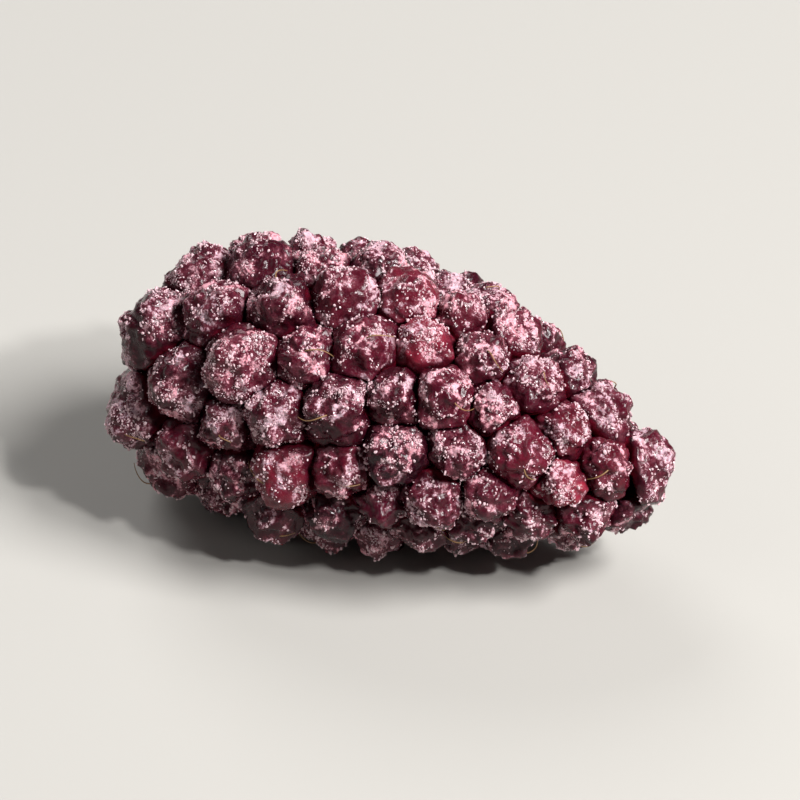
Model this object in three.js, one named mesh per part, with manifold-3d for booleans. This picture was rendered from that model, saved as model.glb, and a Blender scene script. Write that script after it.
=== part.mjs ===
// A bramble berry as picked, lying on its side: a head of drupelets grown together, and the pale end of the
// receptacle that shows in the hollow where the stalk was.
// Millimetres, +Z up. The berry points along +X, tip first. The origin is on the surface that the berry rests
// on, under the middle of its bounding box.

import * as THREE from "three";
import { ConvexHull } from "three/addons/math/ConvexHull.js";
import { mergeVertices } from "three/addons/utils/BufferGeometryUtils.js";
import Module from "manifold-3d";

// The head, measured over the drupelets.
const berryLength = 29.0;
const berryBreadth = 16.4;

// The egg-shaped surface that runs through the middles of the drupelets.
const fullness = 1.28; // 1 is an ellipse, and more is leaner towards both ends
const taper = 0.19; // how much fatter the stem half is than the tip half
const tipInset = 0.9; // from the berry's tip back to the surface
const stemInset = -1.2; // from the stem end in to where the surface would close, inside the open ring there
const sideInset = 2.0; // from the berry's widest outline in to the surface
const droop = 0.9; // how far the two ends hang below the middle of the axis

// The drupelets.
const drupeletCount = 106;
const stemWidth = 4.15; // a free drupelet's width in the ring round the stem end
const tipWidth = 2.95; // and at the tip
const widthSpread = 0.1; // one drupelet's width, either way from its row's
const proudSpread = 0.2; // how far a drupelet stands out of the rest or sinks in
const heightShare = 1.1; // a drupelet's height over its half width, from its middle to its top
const shoulder = 0.05; // how much squarer than a ball it is, crowded by its neighbours
const crowding = 0.88; // the distance between two middles, over the sum of their half widths
const wallShare = 0.97; // how near a drupelet swells to the walls it shares with its neighbours
const cornerFloor = 0.2; // the least height of a corner over the middles that meet there, over a half width
const settlePasses = 120; // rounds in which crowded drupelets push each other along the surface
const push = 0.25; // the share of an overlap that each of the two gives way by in a round
const seed = 1907;

// The receptacle's end, which stands in the ring of drupelets at the stem end.
const ringRadius = 4.1; // from the axis to the middles of the first drupelets
const hollowRadius = 2.7; // the room that the hollow takes among the drupelets
const plugRadius = 2.05;
const plugDepth = 4.2; // how far it runs into the head
const plugRecess = 1.8; // how far its face lies behind the drupelets round it
const plugNarrowing = 0.72; // its half width near its inner end, over the one at its face
const plugDish = 0.3; // how deep its face is hollowed
const plugGap = 0.3; // clear space round it
const ribCount = 9; // the fibre bundles that show as ribs on it
const ribDepth = 0.1;

// How the berry lies.
const roll = 0; // about its own axis, in degrees
const tilt = 3; // tip down, in degrees
const axisHeight = 7.6; // the middle of the axis over the surface
const boxMiddle = { x: 0.155, y: -0.075 }; // where the drupelets' box would lie without a shift back

// Fineness of the facets.
const facetWidth = 0.95; // along the creases between drupelets
const ringShares = [0.34, 0.62, 0.85]; // rings of points on a drupelet, from its top, 0, to its outline, 1
const plugSides = 36;
const profileSteps = 400;
const searchSteps = 40;
const turnPasses = 40;
const tiny = 1e-4;

const goldenAngle = Math.PI * (3 - Math.sqrt(5));
const halfLength = (berryLength - tipInset - stemInset) / 2;
const middleX = (stemInset - tipInset) / 2;
const halfBreadth = berryBreadth / 2 - sideInset;
const stemEnd = -berryLength / 2 - middleX;
const plugFace = stemEnd + plugRecess;
const lastRandom = 2147483647;
const randomFactor = 48271;

const wasm = await Module();
wasm.setup();

// Random numbers from 0 to 1, the same ones for the same seed.
function randomFrom(start) {
  let state = start;
  return () => {
    state = (state * randomFactor) % lastRandom;
    return state / lastRandom;
  };
}

// The surface's outline at t, which runs from 0 at the stem end to pi at the tip.
function outlineAt(t) {
  return {
    along: -halfLength * Math.cos(t),
    out: halfBreadth * Math.max(Math.sin(t), 0) ** fullness * (1 + taper * Math.cos(t)),
  };
}

// The surface's outward direction at t, as parts along the axis and away from it.
function outwardAt(t) {
  const before = outlineAt(t - tiny);
  const after = outlineAt(t + tiny);
  const run = after.along - before.along;
  const rise = after.out - before.out;
  const size = Math.hypot(run, rise);
  return { along: -rise / size, out: run / size };
}

// The t at which the outline is as far round as angle, where pi is the stem end and 0 the tip.
function outlineAtAngle(angle) {
  let low = 0;
  let high = Math.PI;
  for (let step = 0; step < searchSteps; step++) {
    const t = (low + high) / 2;
    const { along, out } = outlineAt(t);
    if (Math.atan2(out, along) > angle) low = t;
    else high = t;
  }
  return (low + high) / 2;
}

const firstT = (() => {
  let t = 0;
  while (outlineAt(t).out < ringRadius) t += tiny;
  return t;
})();

function widthAt(t) {
  const share = (outlineAt(t).along + halfLength) / (2 * halfLength);
  return stemWidth + (tipWidth - stemWidth) * share;
}

// The t of each drupelet, so that every one has room in proportion to its own width.
function spacedAlong() {
  const step = (Math.PI - firstT) / profileSteps;
  const room = [0];
  for (let i = 0; i < profileSteps; i++) {
    const t = firstT + (i + 0.5) * step;
    const from = outlineAt(t - step / 2);
    const to = outlineAt(t + step / 2);
    const slant = Math.hypot(to.along - from.along, to.out - from.out);
    room.push(room[i] + (slant * outlineAt(t).out) / widthAt(t) ** 2);
  }
  const places = [];
  let i = 0;
  for (let k = 0; k < drupeletCount; k++) {
    const wanted = ((k + 0.5) / drupeletCount) * room[profileSteps];
    while (room[i + 1] < wanted) i++;
    const within = (wanted - room[i]) / (room[i + 1] - room[i]);
    places.push(firstT + (i + within) * step);
  }
  return places;
}

function onSurface(t, around) {
  const { along, out } = outlineAt(t);
  return new THREE.Vector3(along, out * Math.cos(around), out * Math.sin(around));
}

// The t and the place where the ray from the middle through a point meets the surface.
function underPoint(point) {
  const around = Math.atan2(point.z, point.y);
  const t = outlineAtAngle(Math.atan2(Math.hypot(point.y, point.z), point.x));
  return { t, around, point: onSurface(t, around) };
}

// Drupelets on a golden-angle spiral, given their own sizes and then left to settle against each other.
function layOutDrupelets() {
  const random = randomFrom(seed);
  const drupelets = spacedAlong().map((t, k) => ({
    t,
    point: onSurface(t, k * goldenAngle),
    radius: (widthAt(t) / 2) * (1 + widthSpread * (2 * random() - 1)),
    proud: proudSpread * (2 * random() - 1),
  }));
  for (let pass = 0; pass < settlePasses; pass++) {
    for (let i = 0; i < drupelets.length; i++) {
      for (let j = i + 1; j < drupelets.length; j++) {
        const a = drupelets[i];
        const b = drupelets[j];
        const between = b.point.clone().sub(a.point);
        const short = crowding * (a.radius + b.radius) - between.length();
        if (short <= 0) continue;
        between.setLength(short * push);
        a.point.sub(between);
        b.point.add(between);
      }
    }
    for (const drupelet of drupelets) {
      const { t, around } = underPoint(drupelet.point);
      drupelet.t = Math.max(t, firstT);
      drupelet.point = onSurface(drupelet.t, around);
    }
  }
  return drupelets.map(({ t, point, radius, proud }) => {
    const { along, out } = outwardAt(t);
    const round = Math.hypot(point.y, point.z) || 1;
    const outward = new THREE.Vector3(along, (out * point.y) / round, (out * point.z) / round).normalize();
    return { centre: point.clone().addScaledVector(outward, proud), outward, radius };
  });
}

// The stem end's hollow takes its room among the drupelets as one more of them.
function hollow() {
  const centre = new THREE.Vector3(outlineAt(firstT).along, 0, 0);
  return { centre, outward: new THREE.Vector3(-1, 0, 0), radius: hollowRadius, open: true };
}

// How far outside a drupelet's ball a point lies, as a power: the drupelets that meet in a point agree on it.
function power(cell, point) {
  return cell.centre.distanceToSquared(point) - cell.radius ** 2;
}

// The wall between two drupelets, as its direction and its distance from the first one's middle.
function wallBetween(cell, other) {
  const facing = other.centre.clone().sub(cell.centre);
  const apart = facing.length();
  facing.divideScalar(apart);
  return { facing, distance: (apart ** 2 + cell.radius ** 2 - other.radius ** 2) / (2 * apart) };
}

// The place in the plane of three middles that lies equally far outside, or inside, their balls.
function evenPlace(a, b, c) {
  const toB = b.centre.clone().sub(a.centre);
  const toC = c.centre.clone().sub(a.centre);
  const bb = toB.lengthSq();
  const cc = toC.lengthSq();
  const bc = toB.dot(toC);
  const wantB = (bb + a.radius ** 2 - b.radius ** 2) / 2;
  const wantC = (cc + a.radius ** 2 - c.radius ** 2) / 2;
  const spread = bb * cc - bc * bc;
  return a.centre
    .clone()
    .addScaledVector(toB, (wantB * cc - wantC * bc) / spread)
    .addScaledVector(toC, (wantC * bb - wantB * bc) / spread);
}

// Threes of drupelets that meet, all over the head: any such net at first, and then its edges are turned
// until no drupelet lies nearer to the place where three meet than those three do.
function meetingsOf(cells) {
  const spots = cells.map(({ centre }) => {
    return new THREE.Vector3((centre.x * halfBreadth) / halfLength, centre.y, centre.z).normalize();
  });
  const hull = new ConvexHull().setFromPoints(spots);
  const threes = hull.faces.map((face) => [0, 1, 2].map((n) => spots.indexOf(face.getEdge(n).head().point)));
  for (let pass = 0; pass < turnPasses; pass++) {
    const owners = new Map();
    threes.forEach((three, n) => three.forEach((a, m) => owners.set(`${a} ${three[(m + 1) % 3]}`, n)));
    const turned = new Set();
    for (const [edge, n] of owners) {
      const [a, b] = edge.split(" ").map(Number);
      const other = owners.get(`${b} ${a}`);
      if (a > b || turned.has(n) || turned.has(other)) continue;
      const c = threes[n].find((k) => k !== a && k !== b);
      const d = threes[other].find((k) => k !== a && k !== b);
      const place = evenPlace(cells[a], cells[b], cells[c]);
      if (power(cells[d], place) > power(cells[a], place) - tiny) continue;
      threes[n] = [c, a, d];
      threes[other] = [d, b, c];
      turned.add(n).add(other);
    }
    if (!turned.size) break;
  }
  return threes;
}

// The corner in which three drupelets meet.
function cornerOf(cells, three) {
  const [a, b, c] = three.map((n) => cells[n]);
  const place = evenPlace(a, b, c);
  const up = b.centre.clone().sub(a.centre).cross(c.centre.clone().sub(a.centre)).normalize();
  const height = Math.sqrt(Math.max(-power(a, place), (cornerFloor * a.radius) ** 2));
  return { cells: three, point: place.addScaledVector(up, height) };
}

// A drupelet's outline: its corners in order round it, with points between them on the creases.
function outlineOf(cells, corners, i) {
  const { centre, outward, radius } = cells[i];
  const side = new THREE.Vector3(outward.y, outward.z, outward.x).cross(outward).normalize();
  const front = outward.clone().cross(side);
  const turnOf = ({ point }) => {
    const from = point.clone().sub(centre);
    return Math.atan2(from.dot(front), from.dot(side));
  };
  const own = corners.filter((corner) => corner.cells.includes(i)).sort((a, b) => turnOf(a) - turnOf(b));
  return own.flatMap((corner, n) => {
    const next = own[(n + 1) % own.length];
    const shared = corner.cells.filter((cell) => cell !== i && next.cells.includes(cell));
    if (shared.length !== 1) throw new Error(`the outline of drupelet ${i} is broken`);
    const { facing, distance } = wallBetween(cells[i], cells[shared[0]]);
    const hub = facing.multiplyScalar(distance).add(centre);
    const points = [corner.point];
    const steps = Math.max(1, Math.round(corner.point.distanceTo(next.point) / facetWidth));
    for (let step = 1; step < steps; step++) {
      const spoke = corner.point.clone().lerp(next.point, step / steps).sub(hub);
      spoke.setLength(Math.max(Math.sqrt(Math.max(radius ** 2 - distance ** 2, 0)), spoke.length()));
      points.push(spoke.add(hub));
    }
    return points;
  });
}

// The triangles of one drupelet's dome, from its top down to its outline, pressed in where it meets another.
function dome(cells, cell, outline) {
  const top = cell.radius * heightShare;
  const swell = 4 * cell.radius * shoulder;
  const walls = cells.filter((other) => other !== cell).map((other) => wallBetween(cell, other));
  const middle = new THREE.Vector3();
  outline.forEach((edge, n) => {
    const next = outline[(n + 1) % outline.length];
    middle.add(edge.clone().sub(cell.centre).cross(next.clone().sub(cell.centre)));
  });
  middle.normalize();
  const at = (edge, share) => {
    const spoke = edge.clone().sub(cell.centre);
    const angle = spoke.angleTo(middle);
    const fall = 1 - share ** 2;
    let reach = spoke.length() * (1 - fall) + top * fall + swell * share ** 2 * fall;
    spoke.normalize().multiplyScalar(Math.sin(share * angle));
    spoke.addScaledVector(middle, Math.sin((1 - share) * angle)).normalize();
    for (const { facing, distance } of walls) {
      const towards = spoke.dot(facing);
      if (towards > 0) reach = Math.min(reach, (wallShare * distance) / towards);
    }
    return spoke.multiplyScalar(reach).add(cell.centre);
  };
  const rings = [...ringShares.map((share) => outline.map((edge) => at(edge, share))), outline];
  return stitched(middle.multiplyScalar(top).add(cell.centre), rings);
}

// The hollow's floor, which dips to where the receptacle is.
function floorOf(outline) {
  return stitched(new THREE.Vector3(plugFace + 1, 0, 0), [outline]);
}

// Triangles between rings of points that run the same way round, closed by one point in the middle.
function stitched(apex, rings) {
  const triangles = [];
  rings.forEach((ring, r) => {
    ring.forEach((point, n) => {
      const next = ring[(n + 1) % ring.length];
      if (r === 0) {
        triangles.push(apex, point, next);
        return;
      }
      const inner = rings[r - 1][n];
      const innerNext = rings[r - 1][(n + 1) % ring.length];
      triangles.push(inner, point, next, inner, next, innerNext);
    });
  });
  return triangles;
}

// The whole head as one closed surface.
function headGeometry() {
  const cells = [...layOutDrupelets(), hollow()];
  const corners = meetingsOf(cells).map((three) => cornerOf(cells, three));
  const triangles = cells.flatMap((cell, i) => {
    const outline = outlineOf(cells, corners, i);
    return cell.open ? floorOf(outline) : dome(cells, cell, outline);
  });
  return new THREE.BufferGeometry().setFromPoints(triangles);
}

// From the berry's own straight frame, with its axis along X, to the way it hangs and lies.
const pose = new THREE.Matrix4()
  .makeTranslation(-boxMiddle.x, -boxMiddle.y, axisHeight)
  .multiply(new THREE.Matrix4().makeRotationY(THREE.MathUtils.degToRad(tilt)))
  .multiply(new THREE.Matrix4().makeRotationX(THREE.MathUtils.degToRad(roll)))
  .multiply(new THREE.Matrix4().makeTranslation(middleX, 0, 0));

function lay(geometry) {
  geometry.applyMatrix4(pose);
  const places = geometry.getAttribute("position");
  for (let i = 0; i < places.count; i++) {
    const share = (places.getX(i) + boxMiddle.x) / (berryLength / 2);
    places.setZ(i, places.getZ(i) - droop * share * share);
  }
  return geometry;
}

function solidOf(geometry) {
  const bare = geometry.clone();
  bare.deleteAttribute("normal");
  bare.deleteAttribute("uv");
  const merged = mergeVertices(bare, tiny);
  return new wasm.Manifold(
    new wasm.Mesh({
      numProp: 3,
      vertProperties: merged.getAttribute("position").array,
      triVerts: new Uint32Array(merged.index.array),
    }),
  );
}

function geometryOf(solid) {
  const { numProp, vertProperties, triVerts, numVert } = solid.getMesh();
  const places = new Float32Array(numVert * 3);
  for (let i = 0; i < numVert; i++) {
    places.set(vertProperties.subarray(i * numProp, i * numProp + 3), i * 3);
  }
  const geometry = new THREE.BufferGeometry();
  geometry.setAttribute("position", new THREE.BufferAttribute(places, 3));
  geometry.setIndex(new THREE.BufferAttribute(triVerts, 1));
  geometry.computeVertexNormals();
  return geometry;
}

// A round body on the axis, through the points of a profile: how far along the axis, and how far out from it.
function turned(profile) {
  const geometry = new THREE.LatheGeometry(
    profile.map(([along, out]) => new THREE.Vector2(out, -along)),
    plugSides,
  );
  return geometry.rotateZ(Math.PI / 2);
}

// The receptacle's end: a dished face, a rounded rim, and sides that narrow into the head.
function plug() {
  const end = plugFace + plugDepth;
  const narrow = plugRadius * plugNarrowing;
  return turned([
    [end, 0],
    [end - narrow * 0.1, narrow * 0.6],
    [end - narrow * 0.6, narrow],
    [plugFace + plugRadius * 0.8, plugRadius * 0.88],
    [plugFace + plugRadius * 0.2, plugRadius],
    [plugFace + plugRadius * 0.05, plugRadius],
    [plugFace, plugRadius * 0.9],
    [plugFace + plugDish, plugRadius * 0.35],
    [plugFace + plugDish * 0.8, 0],
  ]);
}

// The hole that it stands in, open at the stem end.
function plugHole() {
  const end = plugFace + plugDepth + plugGap;
  const radius = plugRadius + plugGap;
  return turned([
    [end, 0],
    [end, radius * plugNarrowing],
    [end - plugDepth * 0.5, radius],
    [stemEnd - plugDepth, radius],
    [stemEnd - plugDepth, 0],
  ]);
}

// Raises the fibre bundles on the plug as ribs, strongest at its rim.
function rib(geometry) {
  const places = geometry.getAttribute("position");
  for (let i = 0; i < places.count; i++) {
    const out = Math.hypot(places.getY(i), places.getZ(i));
    const around = Math.atan2(places.getZ(i), places.getY(i));
    const raised = 1 + (ribDepth * (Math.cos(ribCount * around) - 1) * out) / plugRadius / 2;
    places.setY(i, places.getY(i) * raised);
    places.setZ(i, places.getZ(i) * raised);
  }
  return geometry;
}

function surfaceBelow() {
  const size = 2 * berryLength;
  return new THREE.BoxGeometry(size, size, size).translate(0, 0, -size / 2);
}

const head = solidOf(lay(headGeometry()))
  .subtract(solidOf(lay(plugHole())))
  .subtract(solidOf(surfaceBelow()));

const drupeletSkin = new THREE.MeshStandardMaterial({ color: 0x6b2634, roughness: 0.35, metalness: 0 });
const receptaclePith = new THREE.MeshStandardMaterial({ color: 0xc9bf8e, roughness: 0.8, metalness: 0 });

const headMesh = new THREE.Mesh(geometryOf(head), drupeletSkin);
headMesh.name = "drupelets";
const plugMesh = new THREE.Mesh(lay(rib(plug())), receptaclePith);
plugMesh.name = "receptacle";

const berry = new THREE.Group();
berry.add(headMesh, plugMesh);

export default berry;
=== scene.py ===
# A frosted bramble berry, lying as picked: drupelets, frost, dried styles and the receptacle's pale end.
# Its sizes are in millimetres, and turned to metres where a mesh is made.
import math
import random
from functools import partial

import bpy
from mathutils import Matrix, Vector


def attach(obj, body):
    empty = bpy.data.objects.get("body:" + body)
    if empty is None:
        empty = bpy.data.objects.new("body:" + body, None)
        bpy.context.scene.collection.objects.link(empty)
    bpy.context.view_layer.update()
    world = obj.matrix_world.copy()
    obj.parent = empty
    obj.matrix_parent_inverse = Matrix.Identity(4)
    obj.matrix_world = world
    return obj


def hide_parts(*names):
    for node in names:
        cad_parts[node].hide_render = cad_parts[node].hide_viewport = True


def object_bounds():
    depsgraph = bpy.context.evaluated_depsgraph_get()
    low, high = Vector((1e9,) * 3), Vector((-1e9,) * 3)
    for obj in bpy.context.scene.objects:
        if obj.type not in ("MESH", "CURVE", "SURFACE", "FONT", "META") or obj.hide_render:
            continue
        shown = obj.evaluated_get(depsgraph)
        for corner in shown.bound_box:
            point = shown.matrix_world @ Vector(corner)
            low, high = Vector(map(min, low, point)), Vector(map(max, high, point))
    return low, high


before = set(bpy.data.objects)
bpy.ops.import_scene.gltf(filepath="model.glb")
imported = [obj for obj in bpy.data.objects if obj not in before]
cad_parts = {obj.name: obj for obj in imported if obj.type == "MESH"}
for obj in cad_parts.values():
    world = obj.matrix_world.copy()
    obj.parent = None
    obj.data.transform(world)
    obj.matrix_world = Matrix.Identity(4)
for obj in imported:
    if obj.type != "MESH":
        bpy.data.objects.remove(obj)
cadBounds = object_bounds()
mm = 0.001

mathNode = "ShaderNodeMath"
vectorNode = "ShaderNodeVectorMath"
times, plus, minus = (mathNode, "MULTIPLY"), (mathNode, "ADD"), (mathNode, "SUBTRACT")
dividedBy, toPower = (mathNode, "DIVIDE"), (mathNode, "POWER")
timesPlus = (mathNode, "MULTIPLY_ADD")  # takes two factors and what is added
vectorTimesPlus, vectorTimes = (vectorNode, "MULTIPLY_ADD"), (vectorNode, "SCALE")
dot, vectorMinus = (vectorNode, "DOT_PRODUCT"), (vectorNode, "SUBTRACT")
rangeNode = "ShaderNodeMapRange"  # takes the value, its low and high, and what they become
noiseNode = "ShaderNodeTexNoise"  # takes the place, scale, detail and roughness, and swings about 0.5
mixNode = "ShaderNodeMix"
readNode = "GeometryNodeInputNamedAttribute"
storeNode = "GeometryNodeStoreNamedAttribute"
randomNode = "FunctionNodeRandomValue"


def linear(hexColour):
    channels = [int(hexColour[i : i + 2], 16) / 255 for i in (1, 3, 5)]
    straight = [c / 12.92 if c <= 0.04045 else ((c + 0.055) / 1.055) ** 2.4 for c in channels]
    return (*straight, 1.0)


# adds a node, with its settings and with its inputs in order or by name: a node, a socket or a plain value;
# its kind can come with an operation, as in times
def addNode(tree, kind, inputs=(), **settings):
    if isinstance(kind, tuple):
        kind, settings["operation"] = kind
    node = tree.nodes.new(kind)
    for name, value in settings.items():
        setattr(node, name, value)
    usable = [socket for socket in node.inputs if socket.enabled]
    for key, value in inputs.items() if isinstance(inputs, dict) else enumerate(inputs):
        socket = usable[key] if isinstance(key, int) else next(s for s in usable if s.name == key)
        if isinstance(value, bpy.types.Node):
            value = next(s for s in value.outputs if s.enabled)
        if isinstance(value, bpy.types.NodeSocket):
            tree.links.new(value, socket)
        else:
            socket.default_value = value
    return node


# an empty geometry tree with an input for each size: how to add a node to it, the group input's sockets
# by name, and nodes that read the named numbers and vectors of its points
def startTree(name, sizes, numbers=(), vectors=()):
    kinds = {int: "NodeSocketInt", float: "NodeSocketFloat", bpy.types.Material: "NodeSocketMaterial"}
    tree = bpy.data.node_groups.new(name, "GeometryNodeTree")
    tree.interface.new_socket("Geometry", in_out="INPUT", socket_type="NodeSocketGeometry")
    for label, value in sizes.items():
        tree.interface.new_socket(label, in_out="INPUT", socket_type=kinds[type(value)])
    tree.interface.new_socket("Geometry", in_out="OUTPUT", socket_type="NodeSocketGeometry")
    add = partial(addNode, tree)
    given = {socket.name: socket for socket in add("NodeGroupInput").outputs if socket.name}
    readers = [add(readNode, {"Name": label}) for label in numbers]
    readers += [add(readNode, {"Name": label}, data_type="FLOAT_VECTOR") for label in vectors]
    return tree, add, given, readers


# realizes what a tree has made, gives it its material and ends the tree
def endTree(add, given, geometry, smooth):
    solid = add("GeometryNodeRealizeInstances", [geometry])
    shaded = add("GeometryNodeSetShadeSmooth", {"Geometry": solid, "Shade Smooth": smooth})
    dressed = add("GeometryNodeSetMaterial", {"Geometry": shaded, "Material": given["material"]})
    add("NodeGroupOutput", [dressed])


# runs a tree on a mesh and keeps what it makes as a plain mesh
def grow(name, startMesh, tree, sizes):
    holder = bpy.data.objects.new(name + "Start", startMesh)
    bpy.context.scene.collection.objects.link(holder)
    modifier = holder.modifiers.new(name, "NODES")
    modifier.node_group = tree
    for item in tree.interface.items_tree:
        if item.in_out == "INPUT" and item.name in sizes:
            modifier[item.identifier] = sizes[item.name]
    evaluated = holder.evaluated_get(bpy.context.evaluated_depsgraph_get())
    mesh = bpy.data.meshes.new_from_object(evaluated)
    holder.modifiers.remove(modifier)
    bpy.data.objects.remove(holder)
    mesh.name = name
    piece = bpy.data.objects.new(name, mesh)
    bpy.context.scene.collection.objects.link(piece)
    print(f"{name}: {sum(len(face.vertices) - 2 for face in mesh.polygons)} triangles")
    return piece


# a piece's values as its tree takes them: shares as they are, lengths in metres, sizes of patterns as scales
def asInputs(piece, shares=(), lengths=(), patterns=()):
    return {
        **{name: piece[name] for name in shares},
        **{name: piece[name] * mm for name in lengths},
        **{name + "Scale": 1 / (piece[name + "Size"] * mm) for name in patterns},
    }


# a material with its tree emptied: how to add a node to it, noises on the object's own coordinates,
# each given as its size in mm, detail and roughness, and nodes that read the named numbers of its points
def startMaterial(name, grains=(), numbers=()):
    material = bpy.data.materials.new(name)
    material.use_nodes = True
    material.node_tree.nodes.clear()
    add = partial(addNode, material.node_tree)
    place = add("ShaderNodeTexCoord").outputs["Object"] if grains else None
    noises = [add(noiseNode, [place, 1 / (size * mm), detail, rough]) for size, detail, rough in grains]
    readers = [add("ShaderNodeAttribute", attribute_name=label).outputs["Fac"] for label in numbers]
    return material, add, noises, readers


def endMaterial(add, looks):
    shader = add("ShaderNodeBsdfPrincipled", looks)
    add("ShaderNodeOutputMaterial", {"Surface": shader})


# the head's shape and the drupelets' places, as the solid has them
head = {
    "length": 29.0,
    "breadth": 16.4,
    "fullness": 1.28,  # 1 is an ellipse, and more is leaner towards both ends
    "taper": 0.19,  # how much fatter the stem half is
    "tipInset": 0.9,  # from the head's outside to the drupelets' middles
    "stemInset": -1.2,
    "sideInset": 2.0,
    "count": 106,
    "stemWidth": 4.15,
    "tipWidth": 2.95,
    "widthSpread": 0.1,
    "proudSpread": 0.2,  # how far a drupelet stands out or in, in mm
    "crowding": 0.88,  # drupelets closer than this share of their widths push each other
    "settlePasses": 120,
    "push": 0.25,
    "seed": 1907,
    "ringRadius": 4.1,
    "hollowRadius": 2.7,
    "tilt": 3.0,
    "axisHeight": 7.6,
    "droop": 0.9,  # how far the two ends sag
    "boxMiddleX": 0.155,
    "boxMiddleY": -0.075,
}
halfLength = (head["length"] - head["tipInset"] - head["stemInset"]) / 2
halfBreadth = head["breadth"] / 2 - head["sideInset"]
middleX = (head["stemInset"] - head["tipInset"]) / 2
tiny = 1e-4


# random numbers from 0 to 1, the same ones for the same seed
def randomFrom(state):
    last = 2147483647
    while True:
        state = (state * 48271) % last
        yield state / last


# the surface through the drupelets' middles at t, from 0 at the stem end to pi at the tip
def outlineAt(t):
    out = halfBreadth * max(math.sin(t), 0) ** head["fullness"] * (1 + head["taper"] * math.cos(t))
    return -halfLength * math.cos(t), out


def outwardAt(t):
    before, after = outlineAt(t - tiny), outlineAt(t + tiny)
    run, rise = after[0] - before[0], after[1] - before[1]
    size = math.hypot(run, rise)
    return -rise / size, run / size


def outlineAtAngle(angle):
    low, high = 0.0, math.pi
    for _ in range(40):
        t = (low + high) / 2
        along, out = outlineAt(t)
        if math.atan2(out, along) > angle:
            low = t
        else:
            high = t
    return (low + high) / 2


def onSurface(t, around):
    along, out = outlineAt(t)
    return [along, out * math.cos(around), out * math.sin(around)]


def ringStart():
    t = 0.0
    while outlineAt(t)[1] < head["ringRadius"]:
        t += tiny
    return t


firstT = ringStart()


def widthAt(t):
    share = (outlineAt(t)[0] + halfLength) / (2 * halfLength)
    return head["stemWidth"] + (head["tipWidth"] - head["stemWidth"]) * share


# the t of each drupelet, so that every one has room in proportion to its own width
def spacedAlong():
    steps = 400
    step = (math.pi - firstT) / steps
    room = [0.0]
    for i in range(steps):
        t = firstT + (i + 0.5) * step
        start, end = outlineAt(t - step / 2), outlineAt(t + step / 2)
        slant = math.hypot(end[0] - start[0], end[1] - start[1])
        room.append(room[i] + slant * outlineAt(t)[1] / widthAt(t) ** 2)
    places, i = [], 0
    for k in range(head["count"]):
        wanted = (k + 0.5) / head["count"] * room[steps]
        while room[i + 1] < wanted:
            i += 1
        places.append(firstT + (i + (wanted - room[i]) / (room[i + 1] - room[i])) * step)
    return places


# drupelets that overlap push each other along the surface, round after round
def settle(drupelets):
    for _ in range(head["settlePasses"]):
        for i, a in enumerate(drupelets):
            for b in drupelets[i + 1 :]:
                between = [q - p for p, q in zip(a["point"], b["point"])]
                apart = math.hypot(*between)
                short = head["crowding"] * (a["radius"] + b["radius"]) - apart
                if short <= 0:
                    continue
                give = short * head["push"] / apart
                a["point"] = [p - give * d for p, d in zip(a["point"], between)]
                b["point"] = [q + give * d for q, d in zip(b["point"], between)]
        for one in drupelets:
            x, y, z = one["point"]
            one["t"] = max(outlineAtAngle(math.atan2(math.hypot(y, z), x)), firstT)
            one["point"] = onSurface(one["t"], math.atan2(z, y))


# each drupelet's middle, outward direction and half width, and last the hollow at the stem end
def layOut():
    draw = randomFrom(head["seed"])
    golden = math.pi * (3 - math.sqrt(5))
    drupelets = []
    for k, t in enumerate(spacedAlong()):
        radius = widthAt(t) / 2 * (1 + head["widthSpread"] * (2 * next(draw) - 1))
        proud = head["proudSpread"] * (2 * next(draw) - 1)
        drupelets.append({"t": t, "point": onSurface(t, k * golden), "radius": radius, "proud": proud})
    settle(drupelets)
    cells = []
    for one in drupelets:
        x, y, z = one["point"]
        along, out = outwardAt(one["t"])
        girth = math.hypot(y, z) or 1.0
        outward = Vector((along, out * y / girth, out * z / girth)).normalized()
        middle = Vector(one["point"]) + outward * one["proud"]
        cells.append({"middle": middle, "outward": outward, "halfWidth": one["radius"]})
    hollowMiddle = Vector((outlineAt(firstT)[0], 0, 0))
    cells.append({"middle": hollowMiddle, "outward": Vector((-1, 0, 0)), "halfWidth": head["hollowRadius"]})
    return cells


cells = layOut()
print(f"{len(cells) - 1} drupelets laid out")

# how the drupelets differ from each other
mood = {
    "seed": 17,
    "redSpots": (  # where they ripened red instead of dark: a place on the straight berry and a radius
        (2.4, -1.4, 6.6, 2.4), (11.4, -3.4, 1.4, 2.4), (-2.2, -7.2, 0.2, 1.7),
        (-6.0, 4.5, -4.5, 2.4), (5.5, 5.5, -1.0, 2.2), (-10.5, 4.4, 1.5, 2.0),
    ),
    "strayRed": 0.15,  # how much red any of them may have
    "rimy": (-0.05, 0.05),  # how much more or less frost than the others
    "dentShare": 0.7,  # the share whose top the frost has drawn in
    "dentDepth": (0.2, 0.55),
    "dentLean": 0.35,  # how far a dent lies off the top
    "swell": 0.08,  # how much more or less than the others one may have swollen
    "sideFrom": (0.31, 0.22, 0.93),  # any direction, which gives each a side for its dried style to lie on
}


# stores a number or a direction for each point of a mesh
def mark(mesh, values, aims):
    for name, numbers in values.items():
        mesh.attributes.new(name, "FLOAT", "POINT").data.foreach_set("value", numbers)
    for name, numbers in aims.items():
        mesh.attributes.new(name, "FLOAT_VECTOR", "POINT").data.foreach_set("vector", numbers)


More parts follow.
